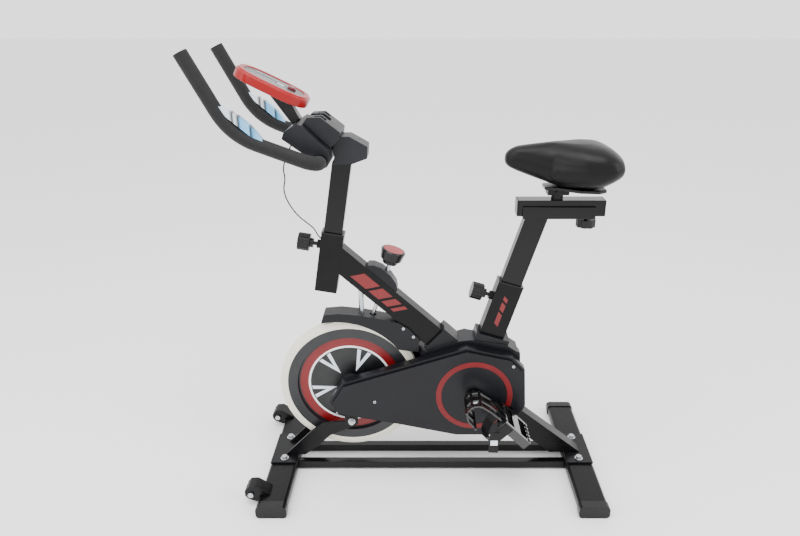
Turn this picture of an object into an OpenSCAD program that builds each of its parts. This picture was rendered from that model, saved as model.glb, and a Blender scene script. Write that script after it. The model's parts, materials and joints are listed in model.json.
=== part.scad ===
// Indoor cycle: belt-driven flywheel bike on a tubular frame.
// X runs from the handlebar (-) to the saddle (+), Y across, Z up. Units are mm.

/* [Overall] */
// Length of each stabiliser bar across the floor
stabiliser_length = 480; // [380:5:600]
// Distance between the two stabiliser bars
wheelbase = 820; // [680:5:1000]
// Flywheel diameter
flywheel_diameter = 380; // [316:2:456]
// Height of the crank axle above the floor
crank_height = 250; // [230:1:310]
// Crank arm length, axle to pedal spindle
crank_length = 105; // [90:1:112]
// Spacing of the two handlebar horns
horn_spacing = 260; // [210:2:330]
// Height of the seat sleeve's mouth
seat_sleeve_top = 548; // [510:1:670]
// Height of the head sleeve's mouth
head_sleeve_top = 684; // [660:1:790]

/* [Tubes] */
// In-plane width of the main tube and the rear leg
tube_width = 60; // [50:1:72]
// Width across the bike of the frame tubes
tube_depth = 40; // [36:1:44]
// Wall of the frame tubes
tube_wall = 2.5; // [1.5:0.1:3]
// In-plane width of the handlebar post
head_post_width = 46; // [40:1:50]
// In-plane width of the seat post
seat_post_width = 54; // [44:1:58]
// Thickness across the bike of both posts
post_depth = 30; // [24:1:32]
// Sliding gap between a post and its bush
post_gap = 0.2; // [0.05:0.05:0.5]
// Width of each stabiliser
stabiliser_width = 74; // [60:1:90]
// Height of each stabiliser tube
stabiliser_height = 30; // [24:1:36]
// Side of the square floor bars
floor_bar = 21; // [18:1:27]

/* [Drive] */
// Belt seat radius of the crank pulley
drive_pulley_radius = 80; // [66:1:96]
// Belt seat radius of the flywheel pulley
small_pulley_radius = 20; // [17:0.5:20]
// Belt width
belt_width = 12; // [8:1:14]
// Thickness of the flywheel rim
rim_thickness = 25; // [20:1:30]
// Crank axle radius
crank_axle_radius = 8.5; // [7.5:0.5:10]
// Flywheel axle radius
fly_axle_radius = 6; // [5:0.5:8]
// Running clearance of every turning shaft, on the radius
running_gap = 0.05; // [0.02:0.01:0.1]

/* [Touch points] */
// Radius of the bare handlebar tube
bar_radius = 12.5; // [11:0.5:14]
// Radius over the foam grip
grip_radius = 16; // [15:0.5:19]
// Saddle width at its widest
saddle_width = 208; // [170:2:250]
// Fore-aft length of each pedal body
pedal_length = 92; // [76:1:110]
// Pedal width along its spindle
pedal_width = 88; // [74:1:100]
// Transport wheel radius
wheel_radius = 18; // [15:0.5:18]

/* [Hidden] */
$fn = 48;
fly_r = flywheel_diameter / 2;
bb = [146, crank_height];
front_x = -wheelbase / 2 + 35;
rear_x = wheelbase / 2 + 35;
stab_z0 = 2.5;
stab_z1 = stab_z0 + stabiliser_height;
plate_t = 5.5;
plate_z1 = stab_z1 + plate_t;

// Main tube line: from the head sleeve down to the seat tube
head_lean = 9.5;
seat_lean = 17.1;
head_u = [sin(head_lean), cos(head_lean)];
seat_u = [sin(seat_lean), cos(seat_lean)];
head_top = [-213.5, head_sleeve_top];
seat_top = [bb[0] + (seat_sleeve_top - bb[1]) * tan(seat_lean) - 3.5, seat_sleeve_top];
head_sleeve_w = head_post_width + 10;
seat_sleeve_w = seat_post_width + 12;
sleeve_wall = 2;
head_sleeve_len = 155;
main_a = head_top - head_u * 47;
main_b = bb + seat_u * 44;
main_v = (main_b - main_a) / norm(main_b - main_a);
main_n = [-main_v[1], main_v[0]];

// Flywheel centre keeps its gap under the main tube
fly_z = fly_r + 62.5;
fly_x = (main_n * main_a - tube_width / 2 - fly_r - 41.5 - main_n[1] * fly_z) / main_n[0];
fly = [fly_x, fly_z];
leg_end = [rear_x - 32, plate_z1 - 2];
leg_v = (leg_end - bb) / norm(leg_end - bb);

// Stations across the bike
belt_y = -45;
cover_in = 32;
cover_out = 64;
arm_in = 70;
arm_t = 14;
pedal_y = arm_in + arm_t + 4;
fork_y = 26;
fork_t = 6;
bar_y = 27.5 + floor_bar / 2;
wheel_y = min(173, stabiliser_length / 2 - 60);

// Handlebar: tip, bend vertex and crossbar centre, in the side plane
bar_c = head_top + [-10, 197];
bar_bend = bar_c + [-183.5, 68];
bar_tip = bar_bend + [-88, 171];
horn_v = (bar_tip - bar_bend) / norm(bar_tip - bar_bend);
low_v = (bar_c - bar_bend) / norm(bar_c - bar_bend);
half_w = horn_spacing / 2;

// Brake line: radial from the flywheel, through the main tube
brake_lean = 17.6;
brake_u = [sin(brake_lean), cos(brake_lean)];
tube_n0 = main_n * main_a;
brake_r1 = (tube_n0 + tube_width / 2 - main_n * fly) / (main_n * brake_u);
brake_r0 = (tube_n0 - tube_width / 2 - main_n * fly) / (main_n * brake_u);

// Seat: slider tube and saddle positions
seat_head = seat_top + seat_u * 185.5;
slide_z = seat_head[1] + 27;
slide_side = 40;
slide_x0 = seat_head[0] - 47;
slide_x1 = seat_head[0] + 163;
saddle_x0 = seat_head[0] - 86;
saddle_x1 = seat_head[0] + 194;

crank_angle = -25;
x_low = bar_tip[0] - grip_radius * horn_v[1];
shift_x = -(x_low + max(saddle_x1, rear_x + stabiliser_width / 2)) / 2;

// ---- helpers ----

// Draws a side-view outline and gives it thickness from y0 to y1
module side(y0, y1) {
  translate([0, y1, 0]) rotate([90, 0, 0]) linear_extrude(height = y1 - y0) children();
}

// Round bar across the bike
module cross_pin(p, r, y0, y1) {
  translate([p[0], y0, p[1]]) rotate([-90, 0, 0]) cylinder(h = y1 - y0, r = r);
}

// Corners of a straight strip of width w from a to b
function strip4(a, b, w) = let (v = (b - a) / norm(b - a), n = [-v[1], v[0]] * w / 2)
  [a + n, b + n, b - n, a - n];

// Solid straight member between two side-view points
module member(a, b, w, d) { side(-d / 2, d / 2) polygon(strip4(a, b, w)); }

// Outline of a bent strip, mitred at every corner
function unit(v) = v / norm(v);
function perp(v) = [-v[1], v[0]];
function miter(p, i) = let (
    a = i > 0 ? unit(p[i] - p[i - 1]) : unit(p[1] - p[0]),
    b = i < len(p) - 1 ? unit(p[i + 1] - p[i]) : a,
    m = unit(perp(a) + perp(b))) m / (m * perp(a));
function strip(p, w) = concat(
  [for (i = [0 : len(p) - 1]) p[i] + miter(p, i) * w / 2],
  [for (i = [len(p) - 1 : -1 : 0]) p[i] - miter(p, i) * w / 2]);

// Moves every edge of a closed outline inwards by d (outline clockwise)
function inset(p, d) = let (n = len(p)) [for (i = [0 : n - 1]) let (
    a = unit(p[i] - p[(i + n - 1) % n]), b = unit(p[(i + 1) % n] - p[i]),
    m = unit(perp(a) + perp(b))) p[i] - m * d / (m * perp(a))];

// Rounded rectangle outline
function rounded(w, h, r, n = 5) = [for (q = [0 : 3], k = [0 : n])
  let (a = q * 90 + k * 90 / n, sx = (q == 0 || q == 3) ? 1 : -1, sy = q < 2 ? 1 : -1)
  [sx * (w / 2 - r) + r * cos(a), sy * (h / 2 - r) + r * sin(a)]];

function arc(c, r, a0, a1, n) = [for (k = [0 : n]) c + r * [cos(a0 + (a1 - a0) * k / n),
  sin(a0 + (a1 - a0) * k / n)]];

// Tube swept along 3-D points, ring by ring; the first ring vertex starts along n0
function cross3(a, b) = [a[1] * b[2] - a[2] * b[1], a[2] * b[0] - a[0] * b[2],
  a[0] * b[1] - a[1] * b[0]];
function dir_at(p, i) = i == 0 ? unit(p[1] - p[0]) : i == len(p) - 1 ?
  unit(p[i] - p[i - 1]) : unit(unit(p[i + 1] - p[i]) + unit(p[i] - p[i - 1]));
function frames(p, n0, i = 0) = i >= len(p) ? [] : let (t = dir_at(p, i),
  n = unit(n0 - t * (n0 * t))) concat([[n, cross3(t, n)]], frames(p, n, i + 1));
function tube_pts(p, r, s, n0) = let (f = frames(p, n0)) [for (i = [0 : len(p) - 1],
  k = [0 : s - 1]) p[i] + r * (f[i][0] * cos(k * 360 / s) + f[i][1] * sin(k * 360 / s))];
function wall_faces(rings, s) = [for (i = [0 : rings - 2], k = [0 : s - 1])
  let (a = i * s + k, b = i * s + (k + 1) % s) [a, a + s, b + s, b]];
module sweep(p, r, s, n0) {
  m = len(p);
  polyhedron(points = tube_pts(p, r, s, n0), convexity = 8, faces = concat(
    wall_faces(m, s), [[for (k = [0 : s - 1]) k]],
    [[for (k = [s - 1 : -1 : 0]) (m - 1) * s + k]]));
}
// Hollow tube swept the same way
module sweep_hollow(p, r, r_in, s, n0) {
  m = len(p);
  o = m * s;
  polyhedron(points = concat(tube_pts(p, r, s, n0), tube_pts(p, r_in, s, n0)),
    convexity = 8, faces = concat(wall_faces(m, s),
    [for (f = wall_faces(m, s)) [f[3] + o, f[2] + o, f[1] + o, f[0] + o]],
    [for (k = [0 : s - 1]) let (j = (k + 1) % s) [k, j, o + j, o + k]],
    [for (k = [0 : s - 1]) let (j = (k + 1) % s, e = (m - 1) * s)
      [e + k, e + k + o, e + j + o, e + j]]));
}

function lift(p, y) = [p[0], y, p[1]];

// Frame in the direction of a leaning post: local x in plane, z along the post
module on_axis(p, lean) { translate([p[0], 0, p[1]]) rotate([0, lean, 0]) children(); }

// ---- frame ----

// Each tube's outer solid; wide makes it deeper across the bike, for cutting another tube
module head_sleeve_solid(grow = 0, wide = 0) {
  d = tube_depth + 2 * (grow + wide);
  on_axis(head_top, head_lean) translate([-head_sleeve_w / 2 - grow, -d / 2, -head_sleeve_len])
    cube([head_sleeve_w + 2 * grow, d, head_sleeve_len]);
}
module seat_sleeve_solid(grow = 0, wide = 0) {
  d = tube_depth + 2 * (grow + wide);
  on_axis(seat_top, seat_lean) translate([-seat_sleeve_w / 2 - grow, -d / 2, -norm(seat_top - bb)])
    cube([seat_sleeve_w + 2 * grow, d, norm(seat_top - bb)]);
}
module main_solid(grow = 0, wide = 0) {
  member(main_a, main_b, tube_width + 2 * grow, tube_depth + 2 * (grow + wide));
}
module shell_solid() { cross_pin(bb, 24, -cover_in + 1, cover_in - 1); }

function knob_drop(lean) = lean == head_lean ? 35 : 46;
module knob_bore(top, lean, w) {
  on_axis(top, lean) translate([-w / 2 - 14, 0, -knob_drop(lean)]) rotate([0, 90, 0])
    cylinder(h = 20, r = 5 + running_gap);
}
module knob_boss(top, lean, w) {
  on_axis(top, lean) translate([-w / 2 - 9, 0, -knob_drop(lean)]) rotate([0, 90, 0])
    cylinder(h = 9.5, r = 11);
}

module main_tube() {
  color([0.05, 0.05, 0.06]) difference() {
    main_solid();
    member(main_a - main_v, main_b + main_v, tube_width - 2 * tube_wall,
      tube_depth - 2 * tube_wall);
    head_sleeve_solid(0, 1);
    seat_sleeve_solid(0, 1);
    on_axis(fly, brake_lean) translate([0, 0, brake_r0 - 6])
      cylinder(h = brake_r1 - brake_r0 + 12, r = 6.5);
  }
}

module head_sleeve() {
  color([0.05, 0.05, 0.06]) difference() {
    union() {
      head_sleeve_solid();
      knob_boss(head_top, head_lean, head_sleeve_w);
    }
    on_axis(head_top, head_lean) translate([-head_sleeve_w / 2 + sleeve_wall,
      -tube_depth / 2 + sleeve_wall, -head_sleeve_len - 1]) cube([head_sleeve_w - 2 * sleeve_wall,
      tube_depth - 2 * sleeve_wall, head_sleeve_len + 2]);
    knob_bore(head_top, head_lean, head_sleeve_w);
  }
}

module seat_sleeve() {
  color([0.05, 0.05, 0.06]) difference() {
    union() {
      seat_sleeve_solid();
      knob_boss(seat_top, seat_lean, seat_sleeve_w);
    }
    on_axis(seat_top, seat_lean) translate([-seat_sleeve_w / 2 + sleeve_wall,
      -tube_depth / 2 + sleeve_wall, -norm(seat_top - bb) - 1])
      cube([seat_sleeve_w - 2 * sleeve_wall, tube_depth - 2 * sleeve_wall, norm(seat_top - bb) + 2]);
    knob_bore(seat_top, seat_lean, seat_sleeve_w);
    shell_solid();
  }
}

module bush(top, lean, sleeve_w, post_w) {
  h = 60;
  on_axis(top, lean) difference() {
    union() {
      translate([-sleeve_w / 2 + sleeve_wall, -tube_depth / 2 + sleeve_wall, -h])
        cube([sleeve_w - 2 * sleeve_wall, tube_depth - 2 * sleeve_wall, h]);
      translate([-sleeve_w / 2 - 0.5, -tube_depth / 2 - 0.5, 0])
        cube([sleeve_w + 1, tube_depth + 1, 3.5]);
    }
    translate([-post_w / 2 - post_gap, -post_depth / 2 - post_gap, -h - 1])
      cube([post_w + 2 * post_gap, post_depth + 2 * post_gap, h + 6]);
    translate([-sleeve_w / 2 - 4, 0, -knob_drop(lean)]) rotate([0, 90, 0])
      cylinder(h = sleeve_w / 2, r = 5.4);
  }
}
module post_bushes() {
  color([0.12, 0.12, 0.13]) {
    bush(head_top, head_lean, head_sleeve_w, head_post_width);
    bush(seat_top, seat_lean, seat_sleeve_w, seat_post_width);
  }
}

module rear_leg() {
  far = leg_end + leg_v * 60;
  color([0.05, 0.05, 0.06]) difference() {
    member(bb, far, tube_width - 6, tube_depth);
    member(bb - leg_v, far + leg_v, tube_width - 6 - 2 * tube_wall, tube_depth - 2 * tube_wall);
    seat_sleeve_solid(0, 1);
    main_solid(0, 1);
    shell_solid();
    translate([rear_x - 300, -100, plate_z1 - 300]) cube([600, 200, 300]);
  }
}

module bottom_bracket() {
  color([0.05, 0.05, 0.06]) difference() {
    shell_solid();
    cross_pin(bb, 17.5, -cover_in, cover_in);
  }
}

module ring_across(p, r, r_in, y0, y1) {
  difference() { cross_pin(p, r, y0, y1); cross_pin(p, r_in, y0 - 1, y1 + 1); }
}
module bearings() {
  color([0.7, 0.7, 0.72]) {
    for (s = [-1, 1]) {
      ring_across(bb, 17.5, crank_axle_radius + running_gap, s > 0 ? 17 : -27, s > 0 ? 27 : -17);
      ring_across(fly, 14, fly_axle_radius + running_gap, s > 0 ? fork_y - 1 : -fork_y - 7,
        s > 0 ? fork_y + 7 : -fork_y + 1);
    }
  }
}

module floor_bars() {
  color([0.03, 0.03, 0.03]) for (s = [-1, 1]) difference() {
    translate([front_x + stabiliser_width / 2, s * bar_y - floor_bar / 2, 5])
      cube([wheelbase - stabiliser_width, floor_bar, floor_bar]);
    translate([front_x, s * bar_y - floor_bar / 2 + 2, 7])
      cube([wheelbase, floor_bar - 4, floor_bar - 4]);
  }
}

bolt_r = 4;
module stabiliser_brackets() {
  color([0.05, 0.05, 0.06]) for (x = [front_x, rear_x]) difference() {
    translate([x - 36, -66, stab_z1]) cube([72, 132, plate_t]);
    for (s = [-1, 1]) translate([x, s * 48, stab_z1 - 1]) cylinder(h = plate_t + 2, r = bolt_r + 0.4);
  }
}

// Fork plate: rises from the front bracket, runs level under the axle, then up to it
fork_outline = [[front_x, plate_z1], fly + [-110, -134], fly + [-78, -108], fly + [-18, -105],
  fly + [-18, 0], fly + [18, 0], fly + [18, -112], fly + [8, -120], fly + [-61, -150],
  fly + [-95, -185], [front_x + 55, plate_z1]];
fork_bolt = fly + [1, -104];
module fork_plates() {
  color([0.06, 0.06, 0.065]) for (s = [-1, 1]) {
    y0 = s > 0 ? fork_y : -fork_y - fork_t;
    difference() {
      union() {
        side(y0, y0 + fork_t) polygon(fork_outline);
        cross_pin(fly, 24, y0, y0 + fork_t);
      }
      cross_pin(fly, 14, y0 - 1, y0 + fork_t + 1);
      cross_pin(fork_bolt, bolt_r + 0.4, y0 - 1, y0 + fork_t + 1);
    }
  }
}

module stab_profile(w, h, r) { polygon(rounded(w, h, r)); }
module stabilisers() {
  color([0.07, 0.07, 0.075]) for (x = [front_x, rear_x]) difference() {
    translate([x, 0, stab_z0 + stabiliser_height / 2])
      side(-stabiliser_length / 2 + 3, stabiliser_length / 2 - 3)
      stab_profile(stabiliser_width, stabiliser_height, 9);
    translate([x, 0, stab_z0 + stabiliser_height / 2])
      side(-stabiliser_length / 2, stabiliser_length / 2)
      stab_profile(stabiliser_width - 4, stabiliser_height - 4, 7);
    for (s = [-1, 1]) translate([x, s * 48, -5]) cylinder(h = 60, r = bolt_r + 0.4);
  }
}

module stabiliser_caps() {
  h = stabiliser_height + 5;
  color([0.03, 0.03, 0.03]) for (x = [front_x, rear_x], s = [-1, 1]) difference() {
    translate([x, s * (stabiliser_length / 2 - 12), h / 2]) side(-12, 12)
      stab_profile(stabiliser_width + 5, h, 11);
    translate([x, s * (stabiliser_length / 2 - 14), stab_z0 + stabiliser_height / 2])
      side(-11, 11) stab_profile(stabiliser_width, stabiliser_height, 9);
  }
}

module frame_bolts() {
  color([0.75, 0.75, 0.77]) for (s = [-1, 1]) {
    y0 = s > 0 ? fork_y + fork_t : -fork_y - fork_t;
    cross_pin(fork_bolt, bolt_r, s > 0 ? y0 - fork_t - 2 : y0 - 10, s > 0 ? y0 + 10 : y0 + fork_t + 2);
    cross_pin(fork_bolt, 10, s > 0 ? y0 : y0 - 1.6, s > 0 ? y0 + 1.6 : y0);
    cross_pin(fork_bolt, 7.5, s > 0 ? y0 + 1.6 : y0 - 8, s > 0 ? y0 + 8 : y0 - 1.6);
  }
  color([0.75, 0.75, 0.77]) for (x = [front_x, rear_x], s = [-1, 1]) translate([x, s * 48, 0]) {
    translate([0, 0, 0.6]) cylinder(h = 1.9, r = 9);
    translate([0, 0, 0.6]) cylinder(h = plate_z1 + 8, r = bolt_r);
    translate([0, 0, plate_z1]) cylinder(h = 1.8, r = 11);
    translate([0, 0, plate_z1]) cylinder(h = 8, r = 8, $fn = 6);
  }
}

wheel_c = [front_x - 60, 35];
module wheel_brackets() {
  back = front_x - stabiliser_width / 2;
  out = [wheel_c + [-16, -4], wheel_c + [-14, 13], wheel_c + [-5, 23.5], wheel_c + [14, 24.5],
    [front_x - 12, stab_z1 + 4], [front_x - 12, stab_z1], [back - 0.5, stab_z1],
    [back - 0.5, 12], [back - 10, 12], wheel_c + [-8, -14]];
  color([0.05, 0.05, 0.055]) for (s = [-1, 1]) difference() {
    side(s * wheel_y - 19, s * wheel_y + 19) polygon(out);
    side(s * wheel_y - 15.5, s * wheel_y + 15.5) polygon([[wheel_c[0] - 40, -5],
      wheel_c + [-40, 4], wheel_c + [-11, 20.5], wheel_c + [9, 20.5], [back - 4, wheel_c[1] + 17.5],
      [back - 4, -5]]);
    cross_pin(wheel_c, 4.2, s * wheel_y - 30, s * wheel_y + 30);
  }
}
module wheel_bolts() {
  color([0.75, 0.75, 0.77]) for (s = [-1, 1]) {
    cross_pin(wheel_c, 4, s * wheel_y - 22, s * wheel_y + 22);
    cross_pin(wheel_c, 7.5, s * wheel_y - 24, s * wheel_y - 19);
    cross_pin(wheel_c, 7.5, s * wheel_y + 19, s * wheel_y + 23);
  }
}
module transport_wheel(s) {
  color([0.08, 0.08, 0.08]) difference() {
    cross_pin(wheel_c, wheel_radius, s * wheel_y - 12, s * wheel_y + 12);
    cross_pin(wheel_c, 4 + running_gap, s * wheel_y - 13, s * wheel_y + 13);
  }
}
module wheel_left() { transport_wheel(-1); }
module wheel_right() { transport_wheel(1); }

// ---- covers ----

function polar(r, a) = fly + r * [cos(a), sin(a)];
guard_top = [polar(fly_r + 12, 110), polar(fly_r + 33.5, 106), polar(fly_r + 29.5, 95),
  polar(fly_r + 26, 81), polar(fly_r + 31, 67), polar(fly_r + 44, 55), polar(fly_r + 47, 48),
  polar(fly_r + 47, 38), polar(fly_r + 24, 30)];
module flywheel_guard() {
  inner = [polar(fly_r + 3, 112), polar(fly_r + 31, 105), polar(fly_r + 27, 95),
    polar(fly_r + 23.5, 81), polar(fly_r + 28.5, 67), polar(fly_r + 37.5, 57.5),
    polar(fly_r + 80, 40), polar(fly_r + 60, 20), polar(fly_r - 80, 20), polar(60, 110)];
  color([0.13, 0.13, 0.14]) difference() {
    side(-24.5, 24.5) polygon(concat(guard_top,
      arc(fly + [-30, -8], fly_r + 13, 37, 101, 14)));
    side(-22, 22) polygon(inner);
    main_solid(0.4);
    on_axis(fly, brake_lean) cylinder(h = brake_r1, r = 9);
    for (q = guard_screw_at) cross_pin(q, 2.2, -40, 40);
  }
}
guard_screw_at = [polar(fly_r + 39, 50.5), polar(fly_r + 40, 41.7)];
cover_screw_at = [fly + [68, -22], bb + [100, 88], bb + [106, -84]];
module cover_screws() {
  color([0.75, 0.75, 0.77]) {
    for (q = guard_screw_at, s = [-1, 1]) {
      cross_pin(q, 4, s > 0 ? 24.5 : -27, s > 0 ? 27 : -24.5);
      cross_pin(q, 2, s > 0 ? 20.2 : -24.6, s > 0 ? 24.6 : -20.2);
    }
    for (q = cover_screw_at, s = [-1, 1]) {
      cross_pin(q, 4, s > 0 ? cover_out - 2 : -cover_out - 0.3, s > 0 ? cover_out + 0.3 : -cover_out + 2);
      cross_pin(q, 2, s > 0 ? cover_out - 10 : -cover_out + 1.9, s > 0 ? cover_out - 1.9 : -cover_out + 10);
    }
  }
}

// Belt loop round both pulleys, as one outline
belt_d = norm(bb - fly);
belt_a = atan2(bb[1] - fly[1], bb[0] - fly[0]);
belt_f = acos((small_pulley_radius - drive_pulley_radius) / belt_d);
function loop(off) = concat(
  arc(fly, small_pulley_radius + off, belt_a + belt_f, belt_a + 360 - belt_f, 24),
  arc(bb, drive_pulley_radius + off, belt_a - belt_f, belt_a + belt_f, 48));
module belt() {
  color([0.04, 0.04, 0.04]) difference() {
    side(belt_y - belt_width / 2, belt_y + belt_width / 2) polygon(loop(3.4));
    side(belt_y - 20, belt_y + 20) polygon(loop(0.6));
  }
}

cover_outline = [fly + [-53, -26], fly + [-19, 31], bb + [-23, 139], bb + [97, 112],
  bb + [131, 76], bb + [138, -33], bb + [127, -60], bb + [93, -127], bb + [-46, -127],
  bb + [-200, -93], fly + [-31, -64]];
module cover(s) {
  wall = 2.5;
  lip = 7;
  y0 = s > 0 ? cover_in : -cover_out;
  ledge = s > 0 ? cover_out - lip : -cover_out;
  color([0.12, 0.12, 0.13]) difference() {
    union() {
      side(s > 0 ? cover_in : -cover_out + lip, s > 0 ? cover_out - lip : -cover_in)
        polygon(cover_outline);
      side(ledge, ledge + lip) polygon(inset(cover_outline, 8));
    }
    side(s > 0 ? cover_in - 1 : -cover_out + wall + lip, s > 0 ? cover_out - wall - lip : -cover_in + 1)
      polygon(inset(cover_outline, wall));
    side(s > 0 ? cover_in : -cover_out + wall, s > 0 ? cover_out - wall : -cover_in)
      polygon(inset(cover_outline, 8 + wall));
    cross_pin(bb, 24, y0 - 1, y0 + 40);
    side(s > 0 ? cover_out - 1.2 : -cover_out - 1, s > 0 ? cover_out + 1 : -cover_out + 1.2)
      ring2d(bb, 101.5, 87);
    for (q = cover_screw_at) {
      cross_pin(q, 4.2, s > 0 ? cover_out - 2 : -cover_out - 1, s > 0 ? cover_out + 1 : -cover_out + 2);
      cross_pin(q, 2.2, s > 0 ? cover_out - 12 : -cover_out - 1, s > 0 ? cover_out + 1 : -cover_out + 12);
    }
  }
}
module ring2d(p, r, r_in) {
  translate(p) difference() { circle(r = r, $fn = 96); circle(r = r_in, $fn = 96); }
}
module cover_left() { cover(-1); }
module cover_right() { cover(1); }
module cover_rings() {
  color([0.6, 0.05, 0.06]) for (s = [-1, 1])
    side(s > 0 ? cover_out - 1.2 : -cover_out - 0.8, s > 0 ? cover_out + 0.8 : -cover_out + 1.2)
    ring2d(bb, 101.3, 87.2);
}

module cover_top() {
  base = [bb + [-150, 106], bb + [-62, 142], bb + [-13, 149], bb + [80, 136],
    bb + [116, 112], bb + [123, 70], bb + [-150, 70]];
  color([0.12, 0.12, 0.13]) difference() {
    union() {
      side(-cover_in + 0.4, cover_in - 0.4) polygon(base);
      on_axis(bb, seat_lean) translate([-45, -29, 118]) cube([90, 58, 45]);
      side(-29, 29) polygon(strip4(main_b - main_v * 161, main_b - main_v * 112, 78));
    }
    side(-cover_in + 3, cover_in - 3) polygon(inset(base, 2.6));
    side(-cover_in + 3, cover_in - 3) polygon([[bb[0] - 160, bb[1] + 90],
      [bb[0] + 120, bb[1] + 90], [bb[0] + 120, bb[1] + 60], [bb[0] - 160, bb[1] + 60]]);
    member(main_a, main_b, tube_width + 0.8, tube_depth + 0.8);
    seat_sleeve_solid(0.4);
    cross_pin(fly, fly_r + 26, -cover_in - 1, cover_in + 1);
  }
}

module tension_housing() {
  a = tube_n0 + tube_width / 2;
  function on_top(x, h) = [x, (a - main_n[0] * x) / main_n[1]] + main_n * h;
  x0 = fly[0] + brake_u[0] * brake_r1;
  color([0.2, 0.2, 0.22]) difference() {
    side(-19, 19) polygon([on_top(x0 - 44, 0.05), on_top(x0 - 44, 7), on_top(x0 - 36, 17),
      on_top(x0 - 20, 24), on_top(x0 + 2, 24), on_top(x0 + 20, 17), on_top(x0 + 30, 7),
      on_top(x0 + 30, 0.05)]);
    on_axis(fly, brake_lean) cylinder(h = brake_r1 + 80, r = 6.5);
  }
}

module sensor_post() {
  top = fly + [36, 0];
  color([0.7, 0.7, 0.72]) difference() {
    translate([top[0], 0, fly[1] + fly_r + 12]) cylinder(h = 110, r = 7);
    main_solid(0.05);
    flywheel_guard_skin();
    side(-60, 60) polygon([main_a + main_n * 25, main_b + main_n * 25, main_b + main_n * 200,
      main_a + main_n * 200]);
  }
}
module flywheel_guard_skin() {
  side(-24.6, 24.6) polygon(concat([polar(fly_r, 106)], [for (q = guard_top) q], [fly]));
}

// Console lead: hangs from under the bar and enters the front wall of the head sleeve
lead = [[-78, -40, 233.6], [-94.5, -40, 204], [-106.5, -36, 171], [-102.5, -34, 146],
  [-109.5, -34, 121], [-103.5, -32, 91], [-82.5, -28, 54], [-54.5, -22, 28], [-44.5, -16, 16],
  [-38.5, -14, 0], [-28.9, -14, -12]];
module sensor_cable() {
  o = [head_top[0], 0, head_top[1]];
  color([0.05, 0.05, 0.05]) sweep([for (q = smooth(lead, 3)) q + o], 1.6, 8, [1, 0, 0]);
}
// Rounds a route by repeated corner cutting
function cut(p) = concat([p[0]], [for (i = [0 : len(p) - 2], k = [0, 1])
  p[i] * (k == 0 ? 0.75 : 0.25) + p[i + 1] * (k == 0 ? 0.25 : 0.75)], [p[len(p) - 1]]);
function smooth(p, n) = n == 0 ? p : smooth(cut(p), n - 1);

// ---- flywheel and crank ----

module flywheel() {
  t = rim_thickness / 2;
  color([0.16, 0.16, 0.17]) translate([fly[0], 0, fly[1]]) rotate([-90, 0, 0])
    rotate_extrude($fn = 96) polygon([[fly_axle_radius, -19], [26, -19], [30, -3],
      [fly_r - 48, -3], [fly_r - 46, -t], [fly_r - 12, -t], [fly_r, -t + 4], [fly_r, t - 4],
      [fly_r - 12, t], [fly_r - 46, t], [fly_r - 48, 3], [30, 3], [26, 19],
      [fly_axle_radius, 19]]);
}
module flywheel_axle() {
  color([0.7, 0.7, 0.72]) {
    cross_pin(fly, fly_axle_radius, -57, 42);
    cross_pin(fly, 9, 33.5, 39);
    cross_pin(fly, 9, -57, -52.5);
  }
}
module pulley(p, r, r_bore) {
  y = belt_y;
  w = belt_width / 2;
  translate([p[0], y, p[1]]) rotate([-90, 0, 0]) rotate_extrude($fn = 96) polygon([
    [r_bore, -w - 1], [r_bore + 10, -w - 1], [r_bore + 11, -3], [r - 10, -3], [r - 8, -w - 1.5],
    [r + 5, -w - 1.5], [r + 5, -w - 0.4], [r, -w - 0.4], [r, w + 0.4], [r + 5, w + 0.4],
    [r + 5, w + 1.5], [r - 8, w + 1.5], [r - 10, 3], [r_bore + 11, 3], [r_bore + 10, w + 1],
    [r_bore, w + 1]]);
}
module flywheel_pulley() {
  w = belt_width / 2;
  r = small_pulley_radius;
  color([0.3, 0.3, 0.31]) translate([fly[0], belt_y, fly[1]]) rotate([-90, 0, 0])
    rotate_extrude($fn = 64) polygon([[fly_axle_radius, -w - 1.5], [r + 4, -w - 1.5],
      [r + 4, -w - 0.4], [r, -w - 0.4], [r, w + 0.4], [r + 4, w + 0.4], [r + 4, w + 1.5],
      [fly_axle_radius, w + 1.5]]);
}
module crank_axle() {
  color([0.7, 0.7, 0.72]) cross_pin(bb, crank_axle_radius, -arm_in - arm_t - 4, arm_in + arm_t + 4);
}
module drive_pulley() {
  color([0.1, 0.1, 0.1]) pulley(bb, drive_pulley_radius, crank_axle_radius);
}

function crank_end(s) = bb + s * crank_length * [cos(crank_angle), sin(crank_angle)];
module crank_arms() {
  color([0.04, 0.04, 0.045]) for (s = [-1, 1]) {
    e = crank_end(-s);
    y0 = s > 0 ? arm_in : -arm_in - arm_t;
    difference() {
      union() {
        side(y0, y0 + arm_t) polygon(taper(bb, 17, e, 13));
        cross_pin(bb, 18.5, s > 0 ? arm_in - 2 : y0, s > 0 ? y0 + arm_t : -arm_in + 2);
      }
      cross_pin(bb, crank_axle_radius, y0 - 3, y0 + arm_t + 3);
      cross_pin(e, 7, y0 - 1, y0 + arm_t + 1);
    }
  }
}
// Bar outline with round ends of two radii
function taper(a, ra, b, rb) = let (d = norm(b - a), t = atan2(b[1] - a[1], b[0] - a[0]),
  f = acos((ra - rb) / d)) concat(arc(a, ra, t + f, t + 360 - f, 16), arc(b, rb, t - f, t + f, 16));

module pedal_spindles() {
  color([0.7, 0.7, 0.72]) for (s = [-1, 1]) {
    e = crank_end(-s);
    cross_pin(e, 7, s > 0 ? arm_in : -pedal_y, s > 0 ? pedal_y : -arm_in);
    cross_pin(e, 5, s > 0 ? arm_in : -pedal_y - pedal_width + 6,
      s > 0 ? pedal_y + pedal_width - 6 : -arm_in);
  }
}

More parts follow.
